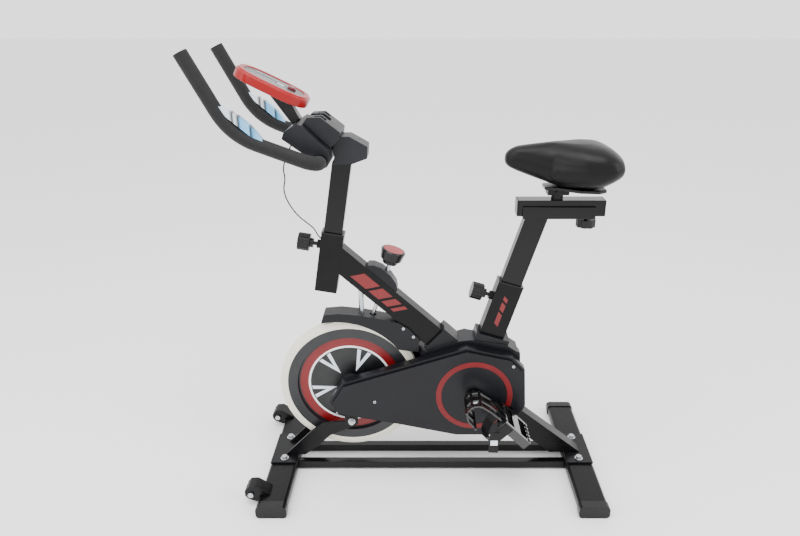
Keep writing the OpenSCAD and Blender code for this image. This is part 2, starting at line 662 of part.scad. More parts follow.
// Pedal: body with its toe cage, nose up and sole side down; the nose points to -x
pedal_tilt = 45;
cage_path = [[2, 3], [-40, 1], [-72, -5], [-85, -22], [-82, -44], [-62, -58], [-34, -60]];
module on_pedal(s) {
  e = crank_end(-s);
  translate([e[0], 0, e[1]]) rotate([0, pedal_tilt, 0]) children();
}
function pedal_in(s) = s > 0 ? pedal_y + 1 : -pedal_y - 1 - pedal_width;
module pedal(s) {
  l = pedal_length;
  y0 = pedal_in(s);
  nose = [for (q = cage_path) q + [-l / 2, 0]];
  color([0.05, 0.05, 0.055]) on_pedal(s) difference() {
    union() {
      translate([-l / 2, y0, -12]) cube([l, pedal_width, 24]);
      for (x = [-l / 2, l / 2 - 5], k = [0 : 4]) translate([x, y0 + 8 + k * 16, -14.5])
        cube([5, 8, 29]);
      for (k = [0 : 2]) let (w = k == 1 ? 16 : 8, y = y0 + pedal_width / 2 + (k - 1) * 31)
        side(y - w / 2, y + w / 2) polygon(strip(nose, 4.5));
      for (i = [2, 3, 4, 6]) cross_pin(nose[i], 3.4, y0 + pedal_width / 2 - 38,
        y0 + pedal_width / 2 + 38);
    }
    for (q = [-1, 1]) translate([q > 0 ? 12 : -l / 2 + 9, y0 + 8, -20])
      cube([l / 2 - 21, pedal_width - 16, 40]);
    translate([0, s > 0 ? y0 - 1 : y0 + 5, 0]) rotate([-90, 0, 0])
      cylinder(h = pedal_width - 4, r = 5 + running_gap);
  }
}
module pedal_left() { pedal(-1); }
module pedal_right() { pedal(1); }

// Toe strap: a band from side to side under the sole, with a free tail on the outer side
strap_t = 2.2;
strap_w = 27;
module strap(s) {
  y0 = pedal_in(s);
  y1 = y0 + pedal_width;
  h = strap_t / 2;
  band = [[y0 - h, 8], [y0 - h, -42], [y0 + 10, -60], [y0 + 30, -68], [y1 - 30, -68],
    [y1 - 10, -60], [y1 + h, -42], [y1 + h, 8]];
  color([0.07, 0.07, 0.07]) on_pedal(s) {
    translate([-pedal_length / 2 + 3, 0, 0]) rotate([90, 0, 90]) linear_extrude(height = strap_w)
      polygon(strip(band, strap_t));
    side(s > 0 ? y1 + strap_t : y0 - 2 * strap_t, s > 0 ? y1 + 2 * strap_t : y0 - strap_t)
      polygon(strip4([-44, -28], [-4, -72], 24));
  }
}
module strap_left() { strap(-1); }
module strap_right() { strap(1); }

// ---- handlebar ----

head_post_top = 181;
module handlebar_post() {
  w = head_post_width;
  color([0.04, 0.04, 0.045]) on_axis(head_top, head_lean) difference() {
    translate([-w / 2, -post_depth / 2, -100]) cube([w, post_depth, 100 + head_post_top]);
    translate([-w / 2 + 2.5, -post_depth / 2 + 2.5, -101])
      cube([w - 5, post_depth - 5, 102 + head_post_top]);
  }
}

bend_r = 150;
elbow_r = 34;
function bend3(s) = let (tl = bend_r * tan(acos(-(horn_v * low_v)) > 90 ?
    (180 - acos(horn_v * low_v)) / 2 : (180 - acos(horn_v * low_v)) / 2))
  [for (k = [0 : 10]) let (u = k / 10, a = bar_bend + horn_v * tl, b = bar_bend + low_v * tl,
    q = a * (1 - u) * (1 - u) + bar_bend * 2 * u * (1 - u) + b * u * u) lift(q, s * half_w)];
function elbow3(s) = [for (k = [0 : 8]) let (u = k * 90 / 8,
    c = bar_c - low_v * elbow_r, q = c + low_v * elbow_r * sin(u))
  [q[0], s * (half_w - elbow_r * (1 - cos(u))), q[1]]];
function horn_path(s) = concat([lift(bar_tip, s * half_w)], bend3(s), elbow3(s));
function flip(p) = [for (i = [len(p) - 1 : -1 : 0]) p[i]];
start_n = [horn_v[1], 0, -horn_v[0]];
module handlebar() {
  color([0.05, 0.05, 0.05]) sweep(concat(horn_path(-1), flip(horn_path(1))), bar_radius, 24, start_n);
}
module handlebar_grips() {
  color([0.06, 0.06, 0.065]) for (s = [-1, 1])
    sweep_hollow(horn_path(s), grip_radius, bar_radius + 0.03, 24, start_n);
}

module head_cover() {
  p = head_top + head_u * head_post_top;
  out = [p + [-22, 20], p + [-12, 66], p + [22, 66], p + [64, 42], p + [62, 14], p + [24, 0],
    p + [-20, 0]];
  color([0.12, 0.12, 0.13]) difference() {
    side(-31, 31) polygon(out);
    on_axis(head_top, head_lean) translate([-head_post_width / 2 - 0.05, -post_depth / 2 - 0.05, 0])
      cube([head_post_width + 0.1, post_depth + 0.1, head_post_top + 0.05]);
    cross_pin(bar_c, bar_radius + 12, -60, 60);
  }
}

module bar_shell() {
  q = bar_c;
  out = [q + [-86, 50], q + [-80, 66], q + [-50, 84], q + [-40, 80], q + [-2, 42],
    q + [19, 24], q + [21, 6], q + [14, -14], q + [0, -20], q + [-14, -16], q + [-22, 4]];
  color([0.13, 0.13, 0.14]) difference() {
    side(-78, 78) polygon(out);
    cross_pin(q, bar_radius + 0.05, -90, 90);
    side(-66, 66) polygon([q + [-70, 55], q + [-50, 70], q + [-30, 52], q + [-44, 34]]);
    on_axis(head_top, head_lean) translate([-head_post_width / 2 - 3, -33, 100]) cube([90, 66, 160]);
  }
}

module device_holder() {
  q = bar_c;
  color([0.13, 0.13, 0.14]) difference() {
    side(-52, 52) polygon([q + [-40, 81], q + [-30, 94], q + [0, 95], q + [44, 60],
      q + [42, 46], q + [20, 24.6], q + [-1.6, 43.4]]);
    for (s = [-1, 1]) translate([0, s * 34, 0]) side(-9, 9) polygon([q + [-16, 120],
      q + [-16, 84], q + [6, 80], q + [22, 96]]);
    side(-14, 14) polygon([q + [-60, 110], q + [-30, 82], q + [10, 76], q + [60, 110]]);
    head_cover_block();
  }
}
module head_cover_block() {
  p = head_top + head_u * head_post_top;
  side(-31.2, 31.2) polygon([p + [-23, 20], p + [-12.6, 66.4], p + [22.4, 66.4], p + [65, 42.4],
    p + [70, -10], p + [-30, -10]]);
}

// Console: oval housing tilted towards the rider
con_c = bar_c + [-112, 159];
con_lean = 26;
module on_console() { translate([con_c[0], 0, con_c[1]]) rotate([0, con_lean, 0]) children(); }
function oval(a, b, e, n = 40) = [for (k = [0 : n - 1]) let (c = cos(k * 360 / n),
  s = sin(k * 360 / n)) [a * sign(c) * pow(abs(c), e), b * sign(s) * pow(abs(s), e)]];
module console_post() {
  color([0.05, 0.05, 0.055]) difference() {
    side(-16, 16) polygon([bar_c + [-71, 72.4], bar_c + [-51.4, 84.2], con_c + [30, -20],
      con_c + [-6, -20]]);
    on_console() translate([-100, -80, -12]) cube([200, 160, 60]);
  }
}
module console_bezel() {
  color([0.75, 0.1, 0.12]) on_console() difference() {
    union() {
      translate([0, 0, -12]) linear_extrude(height = 20) polygon(oval(88, 61, 0.7));
      translate([0, 0, 8]) linear_extrude(height = 4) polygon(oval(84, 57, 0.7));
    }
    translate([0, 0, 4]) linear_extrude(height = 20) polygon(oval(72, 45, 0.7));
    translate([0, 0, -9]) linear_extrude(height = 20) polygon(oval(66, 40, 0.7));
  }
}
module console_face() {
  color([0.2, 0.2, 0.21]) on_console() difference() {
    translate([0, 0, 4]) linear_extrude(height = 6) polygon(oval(71.8, 44.8, 0.7));
    translate([-44, -7, 8.6]) cube([46, 14, 4]);
    translate([42, 0, 0]) cylinder(h = 20, r = 10.5);
  }
}
module console_button() {
  color([0.4, 0.03, 0.05]) on_console() translate([42, 0, 6]) union() {
    cylinder(h = 9, r = 10);
    cylinder(h = 11, r = 7.5);
  }
}

// Pulse plates: thin crescents inside each horn's bend
module pulse_plates() {
  tl = 78;
  a = bar_bend + horn_v * tl;
  b = bar_bend + low_v * tl * 1.1;
  m = unit(horn_v + low_v);
  function bow(k, d) = let (u = k / 12) a * (1 - u) * (1 - u) + (bar_bend + m * d) * 2 * u * (1 - u)
    + b * u * u;
  in_side = [for (k = [0 : 12]) bow(k, 62)];
  out_side = [for (k = [12 : -1 : 0]) bow(k, 26)];
  color([0.6, 0.78, 0.9]) for (s = [-1, 1]) difference() {
    side(s * half_w - 9, s * half_w + 9) polygon(concat(in_side, out_side));
    sweep(horn_path(s), grip_radius + 0.1, 24, start_n);
  }
}

// ---- seat ----

module seat_post() {
  w = seat_post_width;
  z0 = slide_z - slide_side / 2;
  color([0.04, 0.04, 0.045]) {
    difference() {
      on_axis(seat_top, seat_lean) translate([-w / 2, -post_depth / 2, -130])
        cube([w, post_depth, 350]);
      on_axis(seat_top, seat_lean) translate([-w / 2 + 2.5, -post_depth / 2 + 2.5, -131])
        cube([w - 5, post_depth - 5, 352]);
      translate([seat_head[0] - 200, -100, z0 - 5]) cube([400, 200, 200]);
    }
    difference() {
      translate([seat_head[0] - 36, -27, z0 - 5]) cube([177, 54, 30]);
      translate([seat_head[0] - 40, -slide_side / 2 - 0.4, z0 - 0.4])
        cube([190, slide_side + 0.8, 60]);
      translate([seat_head[0] + 125, 0, z0 - 20]) cylinder(h = 40, r = 5 + running_gap);
    }
  }
}

module slider_tube() {
  color([0.04, 0.04, 0.045]) difference() {
    translate([slide_x0, -slide_side / 2, slide_z - slide_side / 2])
      cube([slide_x1 - slide_x0, slide_side, slide_side]);
    translate([slide_x0 - 1, -slide_side / 2 + 2.5, slide_z - slide_side / 2 + 2.5])
      cube([slide_x1 - slide_x0 + 2, slide_side - 5, slide_side - 5]);
  }
}
module slider_caps() {
  color([0.03, 0.03, 0.03]) for (x = [slide_x0 - 3, slide_x1]) {
    translate([x, -slide_side / 2, slide_z - slide_side / 2]) cube([3, slide_side, slide_side]);
    translate([x + (x < slide_x1 ? 3 : -10), -slide_side / 2 + 2.5, slide_z - slide_side / 2 + 2.5])
      cube([10, slide_side - 5, slide_side - 5]);
  }
}
clamp_x = seat_head[0] + 49;
module saddle_clamp() {
  z0 = slide_z + slide_side / 2;
  color([0.06, 0.06, 0.065]) {
    translate([clamp_x, 0, z0]) cylinder(h = 12, r = 14.5);
    translate([clamp_x - 26, -16, z0 + 12]) cube([52, 32, 14]);
    for (s = [-1, 1]) cross_pin([clamp_x, z0 + 18], 7.5, s > 0 ? 16 : -22, s > 0 ? 22 : -16);
  }
}
base_z = slide_z + slide_side / 2 + 26;
module saddle_base() {
  x0 = saddle_x0;
  color([0.05, 0.05, 0.05]) translate([0, 0, base_z]) linear_extrude(height = 8)
    polygon([[x0 + 100, -20], [x0 + 135, -30], [x0 + 178, -56], [x0 + 222, -62], [x0 + 242, -48],
      [x0 + 242, 48], [x0 + 222, 62], [x0 + 178, 56], [x0 + 135, 30], [x0 + 100, 20]]);
}

// Saddle pad as rings from nose to tail: distance from nose, half width, top, underside
pad_z = base_z + 8;
pad_rings = [[0, 0.05, 69, 58], [2, 0.12, 76, 52], [9, 0.2, 85, 46], [30, 0.27, 95, 37],
  [70, 0.35, 98, 24], [115, 0.46, 99, 9], [150, 0.68, 101, 0], [195, 0.91, 105, 0],
  [238, 1, 104, 0], [265, 0.97, 94, 14], [287, 0.83, 80, 26], [296, 0.6, 66, 35],
  [299, 0.36, 56, 42]];
function pad_ring(r) = let (c = (r[2] + r[3]) / 2, h = (r[2] - r[3]) / 2,
  w = r[1] * saddle_width / 2) [for (k = [0 : 23]) let (a = k * 15, cs = cos(a), sn = sin(a))
  [saddle_x0 + r[0] * (saddle_x1 - saddle_x0) / 299, w * sign(cs) * pow(abs(cs), 0.72),
  pad_z + c + h * sign(sn) * pow(abs(sn), 0.8)]];
module saddle_pad() {
  n = len(pad_rings);
  color([0.05, 0.05, 0.05]) polyhedron(points = [for (r = pad_rings, q = pad_ring(r)) q],
    convexity = 4, faces = concat(wall_faces(n, 24), [[for (k = [0 : 23]) k]],
    [[for (k = [23 : -1 : 0]) (n - 1) * 24 + k]]));
}

// ---- knobs ----

module clamp_knob(top, lean, w, reach) {
  on_axis(top, lean) translate([-w / 2 - 9, 0, -knob_drop(lean)]) rotate([0, -90, 0]) union() {
    translate([0, 0, -reach - 9]) cylinder(h = reach + 22, r = 5);
    translate([0, 0, 9]) cylinder(h = 9, r = 12);
    translate([0, 0, 18]) difference() {
      cylinder(h = 30, r = 22);
      for (k = [0 : 9]) rotate([0, 0, k * 36]) translate([24.5, 0, -1]) cylinder(h = 40, r = 4.6);
    }
  }
}
module head_knob() {
  color([0.06, 0.06, 0.065]) clamp_knob(head_top, head_lean, head_sleeve_w, 4.6);
}
module seat_knob() {
  color([0.06, 0.06, 0.065]) clamp_knob(seat_top, seat_lean, seat_sleeve_w, 5.6);
}
module slider_knob() {
  z0 = slide_z - slide_side / 2 - 5;
  color([0.06, 0.06, 0.065]) translate([seat_head[0] + 125, 0, z0]) union() {
    translate([0, 0, -10]) cylinder(h = 14.2, r = 5);
    difference() {
      translate([0, 0, -26]) cylinder(h = 20, r = 24);
      for (k = [0 : 7]) rotate([0, 0, k * 45]) translate([27.5, 0, -40]) cylinder(h = 60, r = 6);
    }
  }
}

knob_r0 = brake_r1 + 47;
module tension_knob() {
  color([0.75, 0.08, 0.1]) on_axis(fly, brake_lean) translate([0, 0, knob_r0]) difference() {
    rotate_extrude($fn = 64) polygon([[0, 0], [18, 0], [21, 8], [27, 12], [31.5, 35], [29, 38],
      [0, 38]]);
    translate([0, 0, -1]) cylinder(h = 21, r = 5 + running_gap);
  }
}
module brake_rod() {
  color([0.7, 0.7, 0.72]) on_axis(fly, brake_lean) {
    translate([0, 0, fly_r + 17]) cylinder(h = knob_r0 + 19 - fly_r - 17, r = 5);
    difference() {
      translate([-20, -11, fly_r + 8]) cube([40, 22, 12]);
      rotate([90, 0, 0]) translate([0, 0, -30]) cylinder(h = 60, r = fly_r + 8, $fn = 96);
    }
  }
}

module placed() { translate([shift_x, 0, 0]) children(); }

placed() main_tube();
placed() head_sleeve();
placed() seat_sleeve();
placed() post_bushes();
placed() rear_leg();
placed() bottom_bracket();
placed() bearings();
placed() floor_bars();
placed() stabiliser_brackets();
placed() fork_plates();
placed() stabilisers();
placed() stabiliser_caps();
placed() frame_bolts();
placed() wheel_brackets();
placed() wheel_bolts();
placed() flywheel_guard();
placed() cover_screws();
placed() belt();
placed() cover_left();
placed() cover_right();
placed() cover_top();
placed() cover_rings();
placed() tension_housing();
placed() sensor_post();
placed() sensor_cable();
placed() flywheel();
placed() flywheel_axle();
placed() flywheel_pulley();
placed() crank_axle();
placed() drive_pulley();
placed() crank_arms();
placed() pedal_spindles();
placed() pedal_left();
placed() pedal_right();
placed() strap_left();
placed() strap_right();
placed() wheel_left();
placed() wheel_right();
placed() handlebar_post();
placed() handlebar();
placed() handlebar_grips();
placed() head_cover();
placed() bar_shell();
placed() device_holder();
placed() console_post();
placed() console_bezel();
placed() console_face();
placed() console_button();
placed() pulse_plates();
placed() seat_post();
placed() slider_tube();
placed() slider_caps();
placed() saddle_clamp();
placed() saddle_base();
placed() saddle_pad();
placed() head_knob();
placed() seat_knob();
placed() slider_knob();
placed() tension_knob();
placed() brake_rod();
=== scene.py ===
import json
import math

import bmesh
import bpy
from mathutils import Matrix, Vector


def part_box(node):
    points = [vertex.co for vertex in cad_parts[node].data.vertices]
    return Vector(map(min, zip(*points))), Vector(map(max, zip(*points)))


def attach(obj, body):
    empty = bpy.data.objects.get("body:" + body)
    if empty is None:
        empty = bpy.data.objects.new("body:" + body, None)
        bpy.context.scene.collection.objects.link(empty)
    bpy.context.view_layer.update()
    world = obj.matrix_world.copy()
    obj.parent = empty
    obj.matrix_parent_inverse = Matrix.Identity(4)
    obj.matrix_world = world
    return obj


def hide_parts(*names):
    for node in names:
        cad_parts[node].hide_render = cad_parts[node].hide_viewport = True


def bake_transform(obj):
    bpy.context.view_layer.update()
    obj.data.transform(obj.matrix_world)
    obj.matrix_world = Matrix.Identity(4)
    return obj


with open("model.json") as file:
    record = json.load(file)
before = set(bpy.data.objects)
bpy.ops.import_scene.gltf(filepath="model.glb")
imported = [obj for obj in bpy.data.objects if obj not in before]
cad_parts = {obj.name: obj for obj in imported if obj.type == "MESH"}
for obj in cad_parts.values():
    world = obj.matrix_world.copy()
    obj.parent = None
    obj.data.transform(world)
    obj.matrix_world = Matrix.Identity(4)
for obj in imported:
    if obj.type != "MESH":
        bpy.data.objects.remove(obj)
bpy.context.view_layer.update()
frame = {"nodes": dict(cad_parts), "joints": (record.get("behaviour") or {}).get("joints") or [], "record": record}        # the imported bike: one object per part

nodes = frame["nodes"]
print("stage: frame loaded,", len(nodes), "nodes")


cameraSetup = {
    "lens": 29.475,                       # mm on a 36 mm sensor
    "place": (0.0178, -1.5548, 1.2008),   # metres, standing in front of the belt side
    "pitch": 68.53,                       # degrees from straight down
    "shiftX": -0.026,
}
cameraData = bpy.data.cameras.new("studioCamera")
cameraData.lens = cameraSetup["lens"]
cameraData.shift_x = cameraSetup["shiftX"]
camera = bpy.data.objects.new("studioCamera", cameraData)
camera.location = cameraSetup["place"]
camera.rotation_euler = (math.radians(cameraSetup["pitch"]), 0, 0)
bpy.context.scene.collection.objects.link(camera)
bpy.context.scene.camera = camera


# The console lead. Its route is in mm from leadFrom, the top of the head sleeve.
shiftX = 13.255   # mm from the solids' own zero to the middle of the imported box
leadFrom = (-213.5 + shiftX, 0, 684)
leadRoute = [(-78, -40, 233.6), (-94.5, -40, 204), (-106.5, -36, 171), (-102.5, -34, 146),
             (-109.5, -34, 121), (-103.5, -32, 91), (-82.5, -28, 54), (-54.5, -22, 28),
             (-44.5, -16, 16), (-38.5, -14, 0), (-28.9, -14, -12)]


def cutCorners(points):
    out = [points[0]]
    for a, b in zip(points, points[1:]):
        out += [a.lerp(b, 0.25), a.lerp(b, 0.75)]
    return out + [points[-1]]


leadLine = [(Vector(p) + Vector(leadFrom)) / 1000 for p in leadRoute]
for step in range(3):
    leadLine = cutCorners(leadLine)
leadCurve = bpy.data.curves.new("consoleLead", "CURVE")
leadCurve.dimensions = "3D"
leadCurve.bevel_depth = 0.0016   # half its thickness
leadCurve.bevel_resolution = 3
leadCurve.use_fill_caps = True
leadSpline = leadCurve.splines.new("POLY")
leadSpline.points.add(len(leadLine) - 1)
for point, place in zip(leadSpline.points, leadLine):
    point.co = (*place, 1)
leadShape = bpy.data.objects.new("consoleLeadShape", leadCurve)
bpy.context.scene.collection.objects.link(leadShape)
bpy.context.view_layer.update()
graph = bpy.context.evaluated_depsgraph_get()
leadMesh = bpy.data.meshes.new_from_object(leadShape.evaluated_get(graph))
bpy.data.objects.remove(leadShape)
lead = bpy.data.objects.new("consoleLead", leadMesh)
bpy.context.scene.collection.objects.link(lead)
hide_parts("sensor_cable")
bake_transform(lead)
print("stage: lead")


def hexColor(text):
    # sRGB hex to the linear numbers that colour sockets hold
    parts = [int(text[i:i + 2], 16) / 255 for i in (0, 2, 4)]
    return [c / 12.92 if c <= 0.04045 else ((c + 0.055) / 1.055) ** 2.4 for c in parts] + [1]


def add(tree, kind, settings=None, links=None):
    # one shader node with its settings and its incoming links
    node = tree.nodes.new(kind)
    for key, value in (settings or {}).items():
        if isinstance(key, str) and key[0].islower():
            setattr(node, key, value)
        else:
            node.inputs[key].default_value = value
    for key, source in (links or {}).items():
        tree.links.new(source, node.inputs[key])
    return node


def newMaterial(name):
    material = bpy.data.materials.new(name)
    material.use_nodes = True
    material.node_tree.nodes.clear()
    return material, material.node_tree


def perMetre(sizeMm):
    # noise scale that gives features of this size
    return 1000 / sizeMm


def mapRange(tree, source, low, high, fromLow=0.3, fromHigh=0.7):
    return add(tree, "ShaderNodeMapRange", {"From Min": fromLow, "From Max": fromHigh,
               "To Min": low, "To Max": high}, {"Value": source}).outputs["Result"]


def noiseFac(tree, where, sizeMm, detail, rough=0.5):
    return add(tree, "ShaderNodeTexNoise", {"Scale": perMetre(sizeMm), "Detail": detail,
               "Roughness": rough}, {"Vector": where}).outputs["Fac"]


def bumpFrom(tree, height, strength, depth):
    return add(tree, "ShaderNodeBump", {"Strength": strength, "Distance": depth},
               {"Height": height}).outputs["Normal"]


def twoNumbers(tree, operation, first, second):
    # a two-number maths node whose second number is a value or a link
    settings, links = {"operation": operation}, {0: first}
    if isinstance(second, float):
        settings[1] = second
    else:
        links[1] = second
    return add(tree, "ShaderNodeMath", settings, links).outputs[0]


def mixTints(tree, share, first, second):
    # two hex tints mixed by share
    return add(tree, "ShaderNodeMix", {"data_type": "RGBA", 6: hexColor(first),
               7: hexColor(second)}, {0: share}).outputs[2]


def layOver(tree, share, under, tint):
    # a hex tint laid over a colour link where share is 1
    return add(tree, "ShaderNodeMix", {"data_type": "RGBA", 7: hexColor(tint)},
               {0: share, 6: under}).outputs[2]


def finishSurface(tree, settings, links, material):
    shader = add(tree, "ShaderNodeBsdfPrincipled", settings, links)
    add(tree, "ShaderNodeOutputMaterial", None, {"Surface": shader.outputs["BSDF"]})
    return material


# A coated, moulded or plated surface: two close tints in soft patches, uneven gloss, fine relief.
# patchMm is the size of the soft patches, grainMm of the relief and depthMm its height.
def coated(name, look):
    material, tree = newMaterial(name)
    where = add(tree, "ShaderNodeTexCoord").outputs["Object"]
    patches = noiseFac(tree, where, look["patchMm"], 5.0, 0.6)
    tint = mixTints(tree, mapRange(tree, patches, 0, 1), look["color"], look["tint"])
    smears = noiseFac(tree, where, look["patchMm"] / 3, 8.0, 0.7)
    rough = mapRange(tree, smears, look["rough"][0], look["rough"][1])
    relief = noiseFac(tree, where, look["grainMm"], 3.0)
    bump = bumpFrom(tree, relief, 0.5, look["depthMm"] / 1000)
    settings = {"Metallic": look.get("metallic", 0.0), "Coat Weight": look.get("coat", 0.0),
                "Coat Roughness": 0.12, "Specular IOR Level": look.get("specular", 0.5)}
    if "ior" in look:
        settings["IOR"] = look["ior"]
    links = {"Base Color": tint, "Roughness": rough, "Normal": bump}
    return finishSurface(tree, settings, links, material)


# Mild steel tube, sprayed with epoxy powder and baked: half gloss, a faint orange peel
powderCoatedSteel = coated("powderCoatedSteel", {"color": "060607", "tint": "0b0b0c", "patchMm": 70,
                           "rough": (0.24, 0.36), "grainMm": 2.2, "depthMm": 0.03, "ior": 1.5,
                           "specular": 0.16})
# The same tube with a clear top coat, on the sliding posts and floor bars: wetter highlights
glossPaintedSteel = coated("glossPaintedSteel", {"color": "040405", "tint": "070708", "patchMm": 90,
                           "rough": (0.12, 0.2), "grainMm": 3.0, "depthMm": 0.02, "ior": 1.5,
                           "coat": 0.15, "specular": 0.18})
# Pressed plate with a thinner powder coat
satinPaintedPlate = coated("satinPaintedPlate", {"color": "08080a", "tint": "0e0e10", "patchMm": 40,
                           "rough": (0.26, 0.4), "grainMm": 1.6, "depthMm": 0.03, "ior": 1.5,
                           "specular": 0.2})
# ABS covers from a spark-eroded mould: a fine even texture and a soft blue-black sheen
mouldedAbs = coated("mouldedAbs", {"color": "09090d", "tint": "0e0f14", "patchMm": 120,
                    "rough": (0.3, 0.42), "grainMm": 1.1, "depthMm": 0.04, "ior": 1.53,
                    "specular": 0.22})
# Glass-filled nylon of the bar shell and device holder: a little greyer and duller
glassFilledNylon = coated("glassFilledNylon", {"color": "131417", "tint": "1a1b1f", "patchMm": 60,
                          "rough": (0.36, 0.5), "grainMm": 0.9, "depthMm": 0.05, "ior": 1.53,
                          "specular": 0.24})
# Injected nylon of knobs, caps and clamps
blackNylon = coated("blackNylon", {"color": "060607", "tint": "0c0c0e", "patchMm": 30,
                    "rough": (0.22, 0.36), "grainMm": 1.2, "depthMm": 0.03, "ior": 1.53,
                    "specular": 0.26})
# Polished mould faces of the pedal bodies and toe cages, which glint at every edge
glossyNylon = coated("glossyNylon", {"color": "050506", "tint": "0a0a0b", "patchMm": 12,
                     "rough": (0.08, 0.22), "grainMm": 3.0, "depthMm": 0.12, "ior": 1.53,
                     "coat": 0.4})
# Red ABS with a polished mould face
redAbs = coated("redAbs", {"color": "840004", "tint": "900208", "patchMm": 80,
                "rough": (0.26, 0.36), "grainMm": 2.0, "depthMm": 0.015, "ior": 1.53, "coat": 0.1,
                "specular": 0.25})
# The darker red of the cover rings
ringRedAbs = coated("ringRedAbs", {"color": "5c0208", "tint": "6a040c", "patchMm": 80,
                    "rough": (0.36, 0.46), "grainMm": 1.4, "depthMm": 0.02, "ior": 1.53,
                    "specular": 0.3})
# Soft-touch polycarbonate button
wineButton = coated("wineButton", {"color": "4c0610", "tint": "640a14", "patchMm": 8,
                    "rough": (0.18, 0.3), "grainMm": 1.5, "depthMm": 0.01, "ior": 1.58})
# Bright zinc on cold-headed bolts and the turned shafts
zincPlatedSteel = coated("zincPlatedSteel", {"color": "c4c6c9", "tint": "a9acb0", "patchMm": 6,
                         "rough": (0.16, 0.34), "grainMm": 0.8, "depthMm": 0.02, "metallic": 1.0})
# Oiled steel of the small pulley
oiledSteel = coated("oiledSteel", {"color": "4a4c50", "tint": "35373a", "patchMm": 10,
                    "rough": (0.25, 0.45), "grainMm": 0.8, "depthMm": 0.03, "metallic": 1.0})
# Hard rubber: belt and transport wheels
hardRubber = coated("hardRubber", {"color": "080808", "tint": "101010", "patchMm": 20,
                    "rough": (0.6, 0.75), "grainMm": 0.8, "depthMm": 0.05, "ior": 1.52,
                    "specular": 0.25})
# Soft PVC of straps and the thin lead
softPvc = coated("softPvc", {"color": "080809", "tint": "111112", "patchMm": 15,
                 "rough": (0.38, 0.55), "grainMm": 0.9, "depthMm": 0.04, "ior": 1.53,
                 "specular": 0.2})
print("stage: plain materials")


# Closed-cell foam sleeve: dull, with burst cells at the cut skin and a soft grey sheen
def makeFoam():
    # real cells are about 0.3 mm, drawn coarser to show
    look = {"cellMm": 1.3, "lumpMm": 16, "depthMm": 0.6, "color": "08080a", "tint": "0e0e10"}
    material, tree = newMaterial("closedCellFoam")
    where = add(tree, "ShaderNodeTexCoord").outputs["Object"]
    cells = add(tree, "ShaderNodeTexVoronoi", {"Scale": perMetre(look["cellMm"])},
                {"Vector": where}).outputs["Distance"]
    lumps = noiseFac(tree, where, look["lumpMm"], 4.0)
    tint = mixTints(tree, mapRange(tree, lumps, 0, 1), look["color"], look["tint"])
    both = add(tree, "ShaderNodeMath", {"operation": "MULTIPLY_ADD", 1: 0.25},
               {0: cells, 2: lumps}).outputs[0]
    bump = bumpFrom(tree, both, 0.55, look["depthMm"] / 1000)
    settings = {"Roughness": 0.72, "Sheen Weight": 0.06, "Sheen Roughness": 0.4,
                "Specular IOR Level": 0.35}
    return finishSurface(tree, settings, {"Base Color": tint, "Normal": bump}, material)


# Embossed vinyl over foam: a pebble grain, with a gloss that varies where it is stretched
def makeVinyl():
    look = {"pebbleMm": 1.6, "strainMm": 45, "depthMm": 0.25, "color": "050506", "tint": "0a0a0b"}
    material, tree = newMaterial("embossedVinyl")
    where = add(tree, "ShaderNodeTexCoord").outputs["Object"]
    pebbles = add(tree, "ShaderNodeTexVoronoi", {"feature": "SMOOTH_F1",
                  "Scale": perMetre(look["pebbleMm"])}, {"Vector": where}).outputs["Distance"]
    strain = noiseFac(tree, where, look["strainMm"], 3.0)
    tint = mixTints(tree, mapRange(tree, strain, 0, 1), look["color"], look["tint"])
    rough = mapRange(tree, strain, 0.34, 0.46)
    fine = bumpFrom(tree, pebbles, 0.18, look["depthMm"] / 1000)
    settings = {"IOR": 1.52, "Specular IOR Level": 0.15, "Coat Weight": 0.02, "Coat Roughness": 0.3}
    links = {"Base Color": tint, "Roughness": rough, "Normal": fine}
    return finishSurface(tree, settings, links, material)


closedCellFoam = makeFoam()
embossedVinyl = makeVinyl()


# The flywheel: cast iron, turned, then painted in rings out from the hub.
# Cream enamel on the rim, charcoal, red, a white pinstripe and a black web.
flywheelLow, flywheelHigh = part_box("flywheel")
flywheelCentre = (flywheelLow + flywheelHigh) / 2
flywheelRadius = (flywheelHigh.x - flywheelLow.x) / 2
flywheelPaint = {
    "cream": {"from": 0.895, "color": "dcd9c9"},
    "charcoal": {"from": 0.727, "color": "141519"},
    "red": {"from": 0.606, "color": "6e0208"},
    "pinstripe": {"from": 0.577, "color": "e8e8ea"},
    "web": {"from": 0.0, "color": "08090b"},
}   # "from" is the share of the radius where the ring starts
scuffLook = {"from": 0.903, "lengthMm": 60, "ringScale": 42.0, "color": "26241f"}


